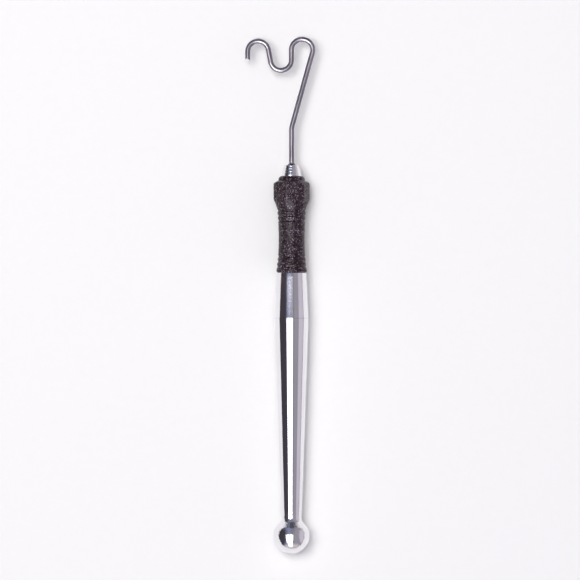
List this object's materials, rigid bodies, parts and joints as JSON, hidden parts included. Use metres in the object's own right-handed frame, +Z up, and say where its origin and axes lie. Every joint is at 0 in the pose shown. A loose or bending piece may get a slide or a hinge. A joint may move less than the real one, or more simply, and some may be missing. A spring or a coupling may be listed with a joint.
{
  "type": "whip finisher",
  "caption": "Slim hand tool with a bent wire hook, notch and hairpin that turns in a tapered metal handle with a black hex grip and a ball end.",
  "frame": {"origin": "centre of the underside of the whole tool's box, on the surface that the tool lies on", "axes": "+Y along the spin axis from the ball end to the wire head, +Z up from the surface, +X to the hairpin's side"},
  "size_m": [0.021, 0.155, 0.0109],
  "materials": {
    "handle": "turned and polished",
    "grip": "moulded, fine crinkle grain",
    "nose": "turned, bright",
    "bush": "plain black bearing plastic",
    "washer": "plain sheet",
    "wire": "drawn spring wire, smooth",
    "collar": "turned",
    "screw": "black oxide"
  },
  "bodies": {
    "handle_body": {"handle": "handle", "grip": "grip", "nose": "nose", "front_bush": "bush", "front_washer": "washer", "rear_washer": "washer", "rear_bush": "bush"},
    "hook_body": {"wire": "wire", "collar": "collar", "set_screw": "screw"}
  },
  "joints": [
    {"name": "hook_spin", "type": "hinge", "parent": "handle_body", "child": "hook_body", "pos_m": [0.00341, 0.0425, 0.00543], "axis": [0, 1, 0], "continuous": true}
  ]
}
